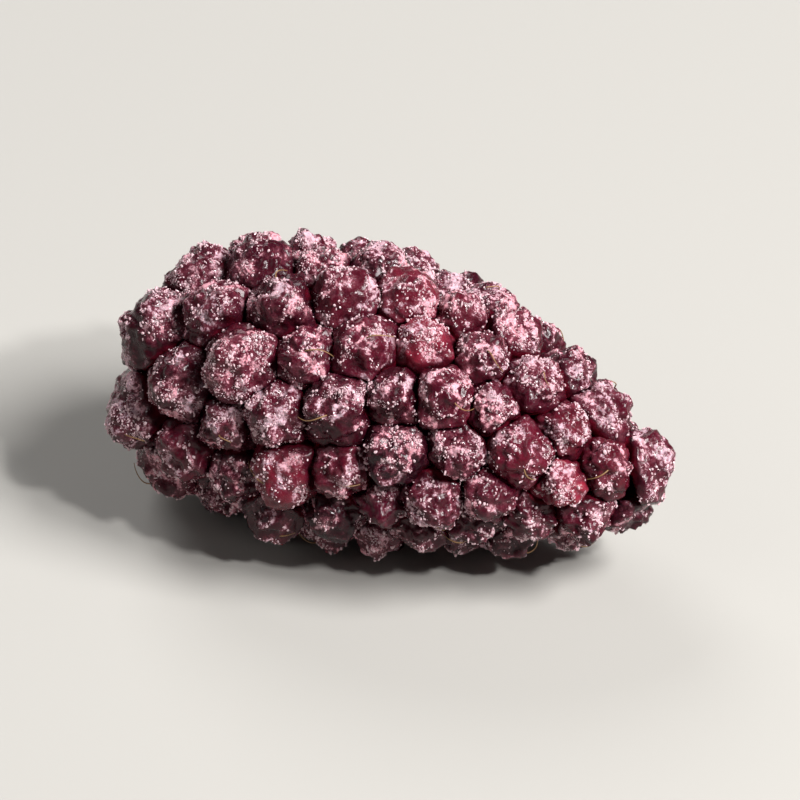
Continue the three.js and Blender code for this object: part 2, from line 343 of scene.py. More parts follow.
# the drupelets as the points of a mesh, with what each one is like as attributes
def bedMesh():
    draw = random.Random(mood["seed"])
    drawSwell = random.Random(mood["seed"] + 1)
    mesh = bpy.data.meshes.new("drupeletBed")
    mesh.from_pydata([cell["middle"] * mm for cell in cells], [], [])
    values = {name: [] for name in ("number", "halfWidth", "tone", "red", "dent", "rimy", "swell")}
    aims = {name: [] for name in ("middle", "outward", "side", "dentAim")}
    for number, cell in enumerate(cells):
        lean = Vector([draw.gauss(0, mood["dentLean"]) for _ in range(3)])
        side = cell["outward"].cross(Vector(mood["sideFrom"])).normalized()
        values["number"].append(number)
        values["halfWidth"].append(cell["halfWidth"] * mm)
        values["tone"].append(draw.random())
        values["swell"].append(1 + drawSwell.uniform(-mood["swell"], mood["swell"]))
        values["rimy"].append(draw.uniform(*mood["rimy"]))
        top = cell["middle"] + cell["outward"] * cell["halfWidth"]
        nearness = [math.exp(-((top - Vector(spot[:3])).length / spot[3]) ** 2) for spot in mood["redSpots"]]
        values["red"].append(min(max(nearness) + mood["strayRed"] * draw.random(), 1))
        dented = draw.random() < mood["dentShare"]
        values["dent"].append(draw.uniform(*mood["dentDepth"]) * mm if dented else 0)
        aims["middle"].extend(cell["middle"] * mm)
        aims["outward"].extend(cell["outward"])
        aims["side"].extend(side)
        aims["dentAim"].extend((cell["outward"] + lean).normalized())
    mark(mesh, values, aims)
    return mesh


skin = {
    "detail": 5,  # subdivisions of the ball that each drupelet starts from
    "gap": 0.015,  # between the skins of two drupelets
    "sway": 1.1,  # how far the walls between drupelets wander
    "swaySize": 1.6,
    "shoulder": 0.46,  # how softly a drupelet rounds over to the wall that a neighbour makes
    "shoulderSpread": (0.42, 0.62, 1.3, 0.3),  # low and high of a noise, and what it does to that
    "hollowShoulder": 0.5,  # how much softer it rounds over into the hollow
    "plumpness": 0.1,  # how much taller than a ball
    "lean": 0.07,  # how much slimmer than a ball at the sides
    "flare": 0.45,  # how much wider low down, where drupelets fill the corners between them
    "skirt": -0.35,  # the cosine from the top at which the hidden underside is cut and closed
    "rootDepth": 0.3,  # from the middle back to where it closes, over its half width
    "patternReach": 2.0,  # from the middle to where the ripples and dents are measured
    "dentWidth": 0.09,
    "dentTurnSize": 1.3,  # of the turns that make a dent's rim uneven
    "dentTurns": (0.3, 0.7, 0.35, 1.9),  # low and high of their noise, and how much they widen and narrow it
    "knob": 0.6,  # what stands up again in the middle of a dent, over its depth
    "knobNarrowing": 6.0,
    "rimPlace": 1.1,  # where the frost round a dent is thickest, over the dent's width
    "rimNarrowing": 4.0,
    "rimBareness": 0.9,  # how bare the dent is inside that ring
    "rimFrost": 0.8,  # extra frost there, for each mm of the dent's depth
    "rippleSize": 1.4,
    "rippleDepth": 1.35,
    "foldSize": 1.5,  # between the wrinkles of the shrunken skin
    "foldDepth": 0.16,
    "foldWidth": 0.3,  # over the fold size
    "patchSize": 1.6,  # of the frosted patches
    "patchShift": (0.011, 0.0, 0.0),  # where on the noise they are taken, in metres
    "topFrost": 0.06,  # extra frost on top
    "creaseFrost": -0.5,  # and in the creases
    "curlSize": 1.5,  # of the curls that the frost lies in
    "curlWidth": 0.06,
    "curlFrost": 0.26,
    "frostEdge": (0.4, 0.64),  # from bare to frosted
    "bridgeSize": 3.2,  # of the places where frost has grown over the creases
    "bridgeEdge": (0.46, 0.6),
    "bridgeFrost": 0.5,
    "crustSize": 0.45,
    "crustDepth": 0.28,
    "crustLeast": 0.35,  # how rough bare skin is, against frosted skin
}


# turns the straight berry to the way it lies and hangs, and presses it on the surface under it
def layDown(add, given, geometry):
    place = add("GeometryNodeInputPosition")
    turned = add("ShaderNodeVectorRotate", {"Vector": place, "Angle": given["tilt"]}, rotation_type="Y_AXIS")
    split = add("ShaderNodeSeparateXYZ", [turned])
    across = add(plus, [split.outputs["X"], given["middleX"]])
    share = add(dividedBy, [across, given["halfLength"]])
    squared = add(times, [share, share])
    sag = add(times, [squared, given["droop"]])
    raised = add(plus, [split.outputs["Z"], given["axisHeight"]])
    hung = add(minus, [raised, sag])
    rested = add(mathNode, [hung, 0.0], operation="MAXIMUM")
    along = add(minus, [across, given["boxMiddleX"]])
    aside = add(minus, [split.outputs["Y"], given["boxMiddleY"]])
    joined = add("ShaderNodeCombineXYZ", [along, aside, rested])
    return add("GeometryNodeSetPosition", {"Geometry": geometry, "Position": joined})


# the sizes that layDown reads
tilt = math.radians(head["tilt"])
lying = {
    "tilt": tilt,
    "middleX": middleX * math.cos(tilt) * mm,
    "halfLength": head["length"] / 2 * mm,
    "axisHeight": (head["axisHeight"] - middleX * math.sin(tilt)) * mm,
    **asInputs(head, lengths=("droop", "boxMiddleX", "boxMiddleY")),
}


# drupelets from first to last: a ball on each point of the bed, pressed in by the walls that it shares
def skinTree(sizes):
    numbers = ("number", "halfWidth", "dent", "rimy", "swell", "free", "reach", "room", "sway")
    vectors = ("middle", "outward", "dentAim", "aim")
    tree, add, given, readers = startTree("drupeletSkins", sizes, numbers, vectors)
    number, halfWidth, dent, rimy, swell, free, reach, room, sway, middle, outward, dentAim, aim = readers
    bed = given["Geometry"]

    ball = add("GeometryNodeMeshIcoSphere", {"Radius": 1.0, "Subdivisions": given["detail"]})
    place = add("GeometryNodeInputPosition")
    marked = add(storeNode, {"Geometry": ball, "Name": "aim", "Value": place}, data_type="FLOAT_VECTOR")
    index = add("GeometryNodeInputIndex")
    toFirst = add(minus, [given["first"], index])
    begun = add(mathNode, [toFirst, 0.5], operation="LESS_THAN")
    unended = add(mathNode, [index, given["end"]], operation="LESS_THAN")
    wanted = add(times, [begun, unended])
    balls = add("GeometryNodeInstanceOnPoints", {"Points": bed, "Selection": wanted, "Instance": marked})
    solid = add("GeometryNodeRealizeInstances", [balls])

    # the hidden underside goes
    rise = add(dot, [aim, outward])
    under = add(mathNode, [rise, given["skirt"]], operation="LESS_THAN")
    domes = add("GeometryNodeDeleteGeometry", {"Geometry": solid, "Selection": under})

    # how far a drupelet would reach with no neighbours: plump, and wider low down
    up = add(mathNode, [rise, 0.0], operation="MAXIMUM")
    plump = add(toPower, [up, 2.0])
    slim = add(minus, [1.0, given["lean"]])
    rest = add(plus, [given["plumpness"], given["lean"]])
    taller = add(timesPlus, [plump, rest, slim])
    low = add(minus, [1.0, up])
    sideways = add(toPower, [low, 4.0])
    flared = add(timesPlus, [sideways, given["flare"], taller])
    swollen = add(times, [flared, swell])
    ballReach = add(times, [swollen, halfWidth])

    # dented where it shrank, with a knob in the dent and a ring of frost round it
    towardsDent = add(dot, [aim, dentAim])
    off = add(minus, [1.0, towardsDent])
    spot = add(vectorTimesPlus, [aim, given["patternReach"], middle])
    turning = add(noiseNode, [spot, given["dentTurnScale"], 1.0, 0.5])
    narrowing = add(rangeNode, [turning, *skin["dentTurns"]])
    offUneven = add(times, [off, narrowing])
    spread = add(dividedBy, [offUneven, given["dentWidth"]])
    fall = add(times, [spread, -1.0])
    steepFall = add(times, [fall, skin["knobNarrowing"]])
    bowl, knob = (add(mathNode, [one], operation="EXPONENT") for one in (fall, steepFall))
    dip = add(timesPlus, [knob, -skin["knob"], bowl])
    drawnIn = add(times, [dip, dent])
    dented = add(minus, [ballReach, drawnIn])
    offRim = add(minus, [spread, skin["rimPlace"]])
    offRimSquared = add(times, [offRim, offRim])
    rimFall = add(times, [offRimSquared, -skin["rimNarrowing"]])
    rimBand = add(mathNode, [rimFall], operation="EXPONENT")
    pit = add(minus, [bowl, knob])
    ringed = add(timesPlus, [pit, -skin["rimBareness"], rimBand])
    rimFrost = add(times, [ringed, dent])

    # rippled by the frost, and wrinkled
    ripple = add(noiseNode, [spot, given["rippleScale"], 2.0, 0.55])
    swing = add(minus, [ripple, 0.5])
    rippled = add(timesPlus, [swing, given["rippleDepth"], dented])
    warp = add(vectorTimesPlus, [ripple.outputs["Color"], given["foldSize"], spot])
    folds = add("ShaderNodeTexVoronoi", [warp, given["foldScale"]], feature="DISTANCE_TO_EDGE")
    between = add(rangeNode, [folds, 0.0, skin["foldWidth"], -1.0, 0.0])
    wrinkled = add(timesPlus, [between, given["foldDepth"], rippled])

    # how far its walls wander, and how softly it rounds over to them
    near = add(vectorTimesPlus, [aim, halfWidth, middle])
    wander = add(noiseNode, [near, given["swayScale"], 2.5, 0.55])
    wandering = add(minus, [wander, 0.5])
    aside = add(times, [wandering, given["sway"]])
    soft = add(noiseNode, [near, given["bridgeScale"], 1.0, 0.5])
    softness = add(rangeNode, [soft, *skin["shoulderSpread"]])
    shoulder = add(times, [softness, given["shoulder"]])
    stored = domes
    for name, value in (("free", wrinkled), ("reach", free), ("room", 1.0), ("sway", aside)):
        stored = add(storeNode, {"Geometry": stored, "Name": name, "Value": value})

    # one round for each other drupelet, and the last one for the hollow at the stem end
    start = tree.nodes.new("GeometryNodeRepeatInput")
    end = tree.nodes.new("GeometryNodeRepeatOutput")
    start.pair_with_output(end)
    tree.links.new(given["rounds"], start.inputs["Iterations"])
    tree.links.new(stored.outputs[0], start.inputs["Geometry"])
    turn = start.outputs["Iteration"]
    otherMiddle, otherHalf = (
        add("GeometryNodeSampleIndex", {"Geometry": bed, "Value": value, "Index": turn}, data_type=kind)
        for value, kind in ((middle, "FLOAT_VECTOR"), (halfWidth, "FLOAT"))
    )
    towards = add(vectorMinus, [otherMiddle, middle])
    apart = add(vectorNode, [towards], operation="LENGTH")
    facing = add(vectorNode, [towards], operation="NORMALIZE")
    apartSquared, ownSquared, otherSquared = (
        add(toPower, [length, 2.0]) for length in (apart, halfWidth, otherHalf)
    )
    summed = add(plus, [apartSquared, ownSquared])
    lessOther = add(minus, [summed, otherSquared])
    twice = add(times, [apart, 2.0])
    wall = add(dividedBy, [lessOther, twice])
    order = add(minus, [turn, number])
    way = add(mathNode, [order], operation="SIGN")
    shifted = add(timesPlus, [way, sway, wall])
    ownWall = add(minus, [shifted, given["halfGap"]])
    slant = add(dot, [aim, facing])
    facingIt = add(mathNode, [slant, 0.01], operation="MAXIMUM")
    limit = add(dividedBy, [ownWall, facingIt])
    itself = add(mathNode, [apart, given["halfGap"]], operation="LESS_THAN")
    farOff = add(timesPlus, [itself, 1.0, limit])
    lastTurn = add(minus, [given["rounds"], 1.0])
    atHollow = add(mathNode, [turn, lastTurn, 0.5], operation="COMPARE")
    rounder = add(timesPlus, [atHollow, given["hollowShoulder"], shoulder])
    pressed = add(mathNode, [reach, farOff, rounder], operation="SMOOTH_MIN")
    spare = add(minus, [farOff, free])
    spareShare = add(dividedBy, [spare, halfWidth])
    openThere = add(timesPlus, [atHollow, 2.0, spareShare])
    least = add(mathNode, [room, openThere], operation="MINIMUM")
    stored = start.outputs["Geometry"]
    for name, value in (("reach", pressed), ("room", least)):
        stored = add(storeNode, {"Geometry": stored, "Name": name, "Value": value})
    tree.links.new(stored.outputs[0], end.inputs["Geometry"])
    shape = add(vectorTimesPlus, [aim, reach, middle])

    # where the frost took hold: in patches, curls and rings, and more on what stands out and on top
    loss = add(minus, [free, reach])
    crease = add(dividedBy, [loss, halfWidth])
    patchPlace = add(vectorNode, [shape, skin["patchShift"]], operation="ADD")
    patches = add(noiseNode, [patchPlace, given["patchScale"], 3.0, 0.6])
    aimUp = add("ShaderNodeSeparateXYZ", [aim]).outputs["Z"]
    higher = add(timesPlus, [aimUp, skin["topFrost"], patches])
    standing = add(timesPlus, [crease, skin["creaseFrost"], higher])
    onRims = add(timesPlus, [rimFrost, given["rimShare"], standing])
    winding = add(noiseNode, [patchPlace, given["curlScale"], 1.0, 0.4])
    offMiddle = add(minus, [winding, 0.5])
    offCurl = add(mathNode, [offMiddle], operation="ABSOLUTE")
    curl = add(rangeNode, [offCurl, skin["curlWidth"], 0.0])
    curled = add(timesPlus, [curl, given["curlFrost"], onRims])
    rimier = add(plus, [curled, rimy])
    frosted = add(rangeNode, [rimier, *skin["frostEdge"]])

    # and where it has grown over the creases, which then look shallower
    bridges = add(noiseNode, [shape, given["bridgeScale"], 1.0, 0.5])
    bridged = add(rangeNode, [bridges, *skin["bridgeEdge"]])
    roomier = add(timesPlus, [bridged, given["bridgeFrost"], room])
    stored = end.outputs["Geometry"]
    for name, value in (("room", roomier), ("frost", frosted)):
        stored = add(storeNode, {"Geometry": stored, "Name": name, "Value": value})
    shaped = add("GeometryNodeSetPosition", {"Geometry": stored, "Position": shape})

    # the frost's crust
    crust = add(noiseNode, [shape, given["crustScale"], 2.0, 0.6])
    crusted = add(minus, [crust, 0.5])
    onFrost = add(plus, [frosted, skin["crustLeast"]])
    thick = add(times, [crusted, onFrost])
    lifted = add(times, [thick, given["crustDepth"]])
    facingOut = add("GeometryNodeInputNormal")
    lift = add(vectorTimes, [facingOut, lifted])
    crusty = add("GeometryNodeSetPosition", {"Geometry": shaped, "Offset": lift})

    # closed to one point underneath
    neighbours = add("GeometryNodeInputMeshEdgeNeighbors")
    rim = add(mathNode, [neighbours, 1.0, 0.5], operation="COMPARE")
    skirted = add(
        "GeometryNodeExtrudeMesh", {"Mesh": crusty, "Selection": rim, "Offset Scale": 0.0}, mode="EDGES"
    )
    down = add(times, [halfWidth, given["rootDepth"]])
    below = add(times, [down, -1.0])
    root = add(vectorTimesPlus, [outward, below, middle])
    gathered = add(
        "GeometryNodeSetPosition",
        {"Geometry": skirted.outputs["Mesh"], "Selection": skirted.outputs["Top"], "Position": root},
    )
    closed = add("GeometryNodeMergeByDistance", {"Geometry": gathered, "Distance": 1e-6})
    endTree(add, given, layDown(add, given, closed), True)
    return tree


skinLook = {
    "ripe": "#3a0a18",
    "darkest": "#1f060e",
    "redder": "#7e1f30",
    # painted shade: the darker colour that the skin takes beside each crease
    "paintedCreaseShade": "#2a060f",
    "juice": "#5a0c1c",
    "rime": "#cf95a0",
    "greyRime": "#bfa0ab",
    "haze": "#66303c",
    "blotch": (1.2, 2.0, 0.5),  # each pattern's size in mm, detail and roughness
    "broad": (0.8, 3.0, 0.6),
    "speckle": (0.26, 3.0, 0.65),
    "fine": (0.11, 2.0, 0.6),
    "wide": (3.0, 1.0, 0.5),
    "blotchEdge": (0.35, 0.65, 0.35, 1.0),
    "creaseShadeEdge": (0.34, -0.1),  # the room beside it at which painted shade darkens the skin into a crease
    "juiceEdge": (0.02, -0.22),  # and at which juice shows in the bottom of it
    "frostStart": (-0.02, 0.42),  # and from which frost shows
    "speckleShare": 0.9,  # in how thick the frost is, against the broad noise
    "fineShare": 0.5,
    "frostShare": 0.42,
    "hazeEdge": (1.3, 1.75),  # how thick it is where it hazes the skin, and where it whitens it
    "rimeEdge": (1.58, 1.8),
    "greyEdge": (0.4, 0.6),
    "roughness": (0.2, 0.6),  # of bare and of frosted skin
    "coat": (0.32, 0.0),
    "speckleBump": 0.6,
    "bumpDepth": 0.06,
}


# Bramble skin: a thin waxy cuticle over dark juice, frozen, so glossy where bare and milky under frost;
# darkened with painted shade towards each crease.
def skinMaterial():
    grains = [skinLook[name] for name in ("blotch", "broad", "speckle", "fine", "wide")]
    numbers = ("tone", "red", "room", "frost")
    material, add, noises, (tone, red, room, frost) = startMaterial("frostedFruitSkin", grains, numbers)
    blotch, broad, speckle, fine, wide = noises
    blotches = add(rangeNode, [blotch, *skinLook["blotchEdge"]])
    redHere = add(times, [red, blotches])
    # painted shade: deep darkens the skin beside each crease, where its neighbours shade it; deepest lets
    # juice's red show in the crease's bottom
    deep, deepest, shallow = (
        add(rangeNode, [room, *skinLook[name]]) for name in ("creaseShadeEdge", "juiceEdge", "frostStart")
    )

    # where the frost hazes and whitens it
    summed = add(timesPlus, [speckle, skinLook["speckleShare"], broad])
    withFine = add(timesPlus, [fine, skinLook["fineShare"], summed])
    weighted = add(timesPlus, [frost, skinLook["frostShare"], withFine])
    haze, rimed = (add(rangeNode, [weighted, *skinLook[name]]) for name in ("hazeEdge", "rimeEdge"))
    hazeHere, rimeHere = (add(times, [one, shallow]) for one in (haze, rimed))
    greyer = add(rangeNode, [wide, *skinLook["greyEdge"]])
    pink, grey = linear(skinLook["rime"]), linear(skinLook["greyRime"])
    ice = add(mixNode, [greyer, pink, grey], data_type="RGBA")

    colour = linear(skinLook["darkest"])
    over = {"ripe": tone, "redder": redHere, "paintedCreaseShade": deep, "juice": deepest, "haze": hazeHere}
    for name, share in over.items():
        colour = add(mixNode, [share, colour, linear(skinLook[name])], data_type="RGBA")
    colour = add(mixNode, [rimeHere, colour, ice], data_type="RGBA")

    rough, coat = (add(rangeNode, [rimeHere, 0.0, 1.0, *skinLook[name]]) for name in ("roughness", "coat"))
    height = add(timesPlus, [speckle, skinLook["speckleBump"], fine])
    bumpSizes = {"Strength": 0.7, "Distance": skinLook["bumpDepth"] * mm}
    bumped = add("ShaderNodeBump", {**bumpSizes, "Height": height})
    endMaterial(add, {
        "Base Color": colour, "Roughness": rough, "IOR": 1.33, "Specular IOR Level": 0.2,
        "Coat Weight": coat, "Coat Roughness": 0.1, "Coat IOR": 1.4, "Subsurface Weight": 0.2,
        "Subsurface Radius": (1.0, 0.25, 0.2), "Subsurface Scale": 0.5 * mm, "Normal": bumped,
    })
    return material


bed = bedMesh()
skinSizes = {
    "first": 0,
    "end": len(cells) - 1,
    "rounds": len(cells),
    "halfGap": skin["gap"] / 2 * mm,
    "rimShare": skin["rimFrost"] / mm,
    "material": skinMaterial(),
    **asInputs(
        skin,
        ("detail", "plumpness", "lean", "flare", "skirt", "rootDepth", "dentWidth", "curlFrost",
         "bridgeFrost"),
        ("sway", "shoulder", "hollowShoulder", "patternReach", "rippleDepth", "foldSize", "foldDepth",
         "crustDepth"),
        ("sway", "dentTurn", "ripple", "fold", "patch", "curl", "crust", "bridge"),
    ),
    **lying,
}
growSkin = skinTree(skinSizes)
skinParts = {"stemDrupelets": (0, 30), "middleDrupelets": (30, 67), "tipDrupelets": (67, 106)}
skins = {}
for name, (first, end) in skinParts.items():
    piece = grow(name, bed, growSkin, {**skinSizes, "first": first, "end": end})
    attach(piece, "root")
    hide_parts("drupelets")
    skins[name] = piece


rime = {
    "density": 66.0,  # grains to a square millimetre where the frost is thickest
    "least": 0.03,  # radii in mm
    "most": 0.105,
    "slimmest": (0.6, 0.5, 0.4),  # how a grain's three radii are stretched
    "stoutest": (1.9, 1.2, 1.0),
    "roomEdge": (0.02, 0.3),  # the room beside it from which a skin carries grains
    "clumpSize": 0.9,  # of the clumps they lie in
    "clumpEdge": (0.4, 0.62),
    "lowest": 0.3,  # none is nearer the surface under the berry
    "colour": "#ecc9d0",
}


# grains of ice strewn on a skin, where it is frosted
def rimeTree(sizes):
    tree, add, given, (frost, room) = startTree("rimeGrains", sizes, ("frost", "room"))
    standing = add(rangeNode, [room, *rime["roomEdge"]])
    frostThere = add(toPower, [frost, 2.0])
    share = add(times, [frostThere, standing])
    place = add("GeometryNodeInputPosition")
    clumps = add(noiseNode, [place, given["clumpScale"], 2.0, 0.5])
    clumped = add(rangeNode, [clumps, *rime["clumpEdge"]])
    height = add("ShaderNodeSeparateXYZ", [place]).outputs["Z"]
    clear = add(mathNode, [height, given["lowest"]], operation="GREATER_THAN")
    clearClumps = add(times, [clumped, clear])
    shareHere = add(times, [share, clearClumps])
    density = add(times, [shareHere, given["density"]])
    strewn = add(
        "GeometryNodeDistributePointsOnFaces",
        {"Mesh": given["Geometry"], "Density": density, "Seed": given["seed"]},
    )
    grainMesh = add("GeometryNodeMeshIcoSphere", {"Radius": 1.0, "Subdivisions": 1})
    drawn, stretch, spun = (
        add(randomNode, {"Min": low, "Max": high, "Seed": given["seed"]}, data_type=kind)
        for low, high, kind in (
            (0.0, 1.0, "FLOAT"),
            (rime["slimmest"], rime["stoutest"], "FLOAT_VECTOR"),
            ((0.0, 0.0, 0.0), (6.283, 6.283, 6.283), "FLOAT_VECTOR"),
        )
    )
    mostlySmall = add(toPower, [drawn, 3.0])
    radius = add(rangeNode, [mostlySmall, 0.0, 1.0, given["least"], given["most"]])
    scale = add(vectorTimes, [stretch, radius])
    grains = add(
        "GeometryNodeInstanceOnPoints",
        {"Points": strewn, "Instance": grainMesh, "Rotation": spun, "Scale": scale},
    )
    endTree(add, given, grains, False)
    return tree


# Rime: small ice crystals frozen out of moist air onto the fruit, tinted by its juice.
def rimeMaterial():
    material, add, _, _ = startMaterial("rime")
    endMaterial(add, {
        "Base Color": linear(rime["colour"]), "Roughness": 0.22, "IOR": 1.31, "Transmission Weight": 0.35,
        "Coat Weight": 0.3, "Coat Roughness": 0.05,
    })
    return material


rimeSizes = {
    "density": rime["density"] / mm**2,
    "seed": 0,
    "material": rimeMaterial(),
    **asInputs(rime, lengths=("lowest", "least", "most"), patterns=("clump",)),
}
growRime = rimeTree(rimeSizes)
for name, seed in {"stemDrupelets": 5, "middleDrupelets": 6, "tipDrupelets": 7}.items():
    piece = grow(name + "Rime", skins[name].data, growRime, {**rimeSizes, "seed": seed})
    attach(piece, "root")


hair = {
    "share": 0.36,  # of the drupelets that still carry their dried style
    "points": 14,
    "radius": 0.042,
    "tipRadius": 0.45,  # over the radius at its root
    "shortest": 0.5,  # angle round the drupelet, in radians
    "longest": 1.25,
    "height": 1.03,  # from the middle, over the half width
    "lift": 0.08,  # how much higher its tip is
    "liftSpread": 0.5,
    "sink": 0.5,  # how deep its root is sunk, over the half width
    "sinkSlope": 6.0,  # how near its root it dives in
    "sway": 0.3,
    "swayTurn": 3.5,  # how far the sway's wave runs from root to tip, in radians
    "spinLeast": 0.0,  # from its drupelet's side, in radians
    "spinMost": math.tau,
    "seed": 3,
    "brown": "#5c3c24",
    "tan": "#9a7648",
    "grain": (0.7, 2.0, 0.5),
}
filament = {
    "count": 34,  # dried filaments round the pith
    "out": 2.35,  # how far from the axis they stand
    "inset": 0.5,
    "jitter": 0.4,  # of their places in the ring, over the step between them
    "bend": (0.6, 1.3),  # radius of the arc each one follows
    "shortest": 0.5,
    "longest": 1.3,
    "spread": 0.7,
    "seed": 21,
}


# the dried styles: a hair from the top of a drupelet, bent round it
def hairTree(sizes):
    numbers = ("halfWidth", "along", "spin", "length", "arched")
    tree, add, given, readers = startTree("driedStyles", sizes, numbers, ("middle", "outward", "side"))
    halfWidth, along, spin, length, arched, middle, outward, side = readers
    dressed = given["Geometry"]
    for name, low, high, seed in (
        ("spin", given["spinLeast"], given["spinMost"], 1),
        ("length", given["shortest"], given["longest"], 2),
        ("arched", -1.0, 1.0, 4),
    ):
        drawn = add(randomNode, {"Min": low, "Max": high, "Seed": seed})
        dressed = add(storeNode, {"Geometry": dressed, "Name": name, "Value": drawn})
    chosen = add(randomNode, {"Probability": given["share"], "Seed": given["seed"]}, data_type="BOOLEAN")
    line = add("GeometryNodeMeshLine", {"Count": given["points"], "Offset": (0.0, 0.0, 0.0)})
    index = add("GeometryNodeInputIndex")
    lastIndex = add(minus, [given["points"], 1.0])
    alongLine = add(dividedBy, [index, lastIndex])
    marked = add(storeNode, {"Geometry": line, "Name": "along", "Value": alongLine})
    lines = add("GeometryNodeInstanceOnPoints", {"Points": dressed, "Selection": chosen, "Instance": marked})
    solid = add("GeometryNodeRealizeInstances", [lines])

    # the hair heads to its own side of outward, and bends down round the drupelet
    bend = add(times, [along, hair["swayTurn"]])
    wave = add(mathNode, [bend], operation="SINE")
    swayed = add(times, [wave, given["sway"]])
    own = add(times, [swayed, arched])
    turned = add(plus, [spin, own])
    heading = add(
        "ShaderNodeVectorRotate", {"Vector": side, "Axis": outward, "Angle": turned},
        rotation_type="AXIS_ANGLE",
    )
    angle = add(times, [along, length])
    sine, cosine = (add(mathNode, [angle], operation=kind) for kind in ("SINE", "COSINE"))
    upPart = add(vectorTimes, [outward, cosine])
    aim = add(vectorTimesPlus, [heading, sine, upPart])
    arch = add(timesPlus, [arched, hair["liftSpread"], 1.0])
    lift = add(times, [arch, given["lift"]])
    hump = add(timesPlus, [along, lift, hair["height"]])
    toTip = add(minus, [1.0, along])
    atRoot = add(toPower, [toTip, hair["sinkSlope"]])
    sunk = add(times, [atRoot, given["sink"]])
    rooted = add(minus, [hump, sunk])
    reach = add(times, [rooted, halfWidth])
    place = add(vectorTimesPlus, [aim, reach, middle])
    bent = add("GeometryNodeSetPosition", {"Geometry": solid, "Position": place})
    curves = add("GeometryNodeMeshToCurve", [bent])
    thinning = add(rangeNode, [along, 0.0, 1.0, 1.0, hair["tipRadius"]])
    ring = add("GeometryNodeCurvePrimitiveCircle", {"Resolution": 6, "Radius": given["radius"]})
    tubes = add(
        "GeometryNodeCurveToMesh",
        {"Curve": curves, "Profile Curve": ring, "Scale": thinning, "Fill Caps": True},
    )
    endTree(add, given, layDown(add, given, tubes), True)
    return tree


# Dried styles: plant fibre left from the flower, shrivelled and browned.
def hairMaterial():
    material, add, (grain,), _ = startMaterial("driedFibre", [hair["grain"]])
    colour = add(mixNode, [grain, linear(hair["brown"]), linear(hair["tan"])], data_type="RGBA")
    endMaterial(add, {"Base Color": colour, "Roughness": 0.55})
    return material


hairSizes = {
    "material": hairMaterial(),
    **asInputs(
        hair,
        ("share", "seed", "points", "shortest", "longest", "lift", "sink", "sway", "spinLeast", "spinMost"),
        ("radius",),
    ),
    **lying,
}
growHair = hairTree(hairSizes)
styles = grow("driedStyles", bed, growHair, hairSizes)
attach(styles, "root")


pith = {
    "radius": 2.05,
    "depth": 4.2,
    "recess": 1.8,  # how far its face lies inside the head's end
    "narrowing": 0.72,
    "dish": 0.3,
    "rimDepth": 0.06,  # how far down the sides the face's shape fades out, over the depth
    "ribs": 9.0,
    "ribDepth": 0.1,
    "foot": 1.0,  # how much wider it is where the drupelets sit on it
    "footEdge": (0.08, 0.42),  # over the depth
    "bundleRing": 0.72,  # where the fibre bundles stand in the face, over the radius
    "bundleEdge": (0.14, 0.02),
    "bundleArc": (0.5, 1.0),
    "tearSize": 0.42,
    "fray": 0.9,
    "threadSize": 0.16,
    "fibre": 0.35,
    "round": 144,
    "along": 36,
    "rings": 22,
}


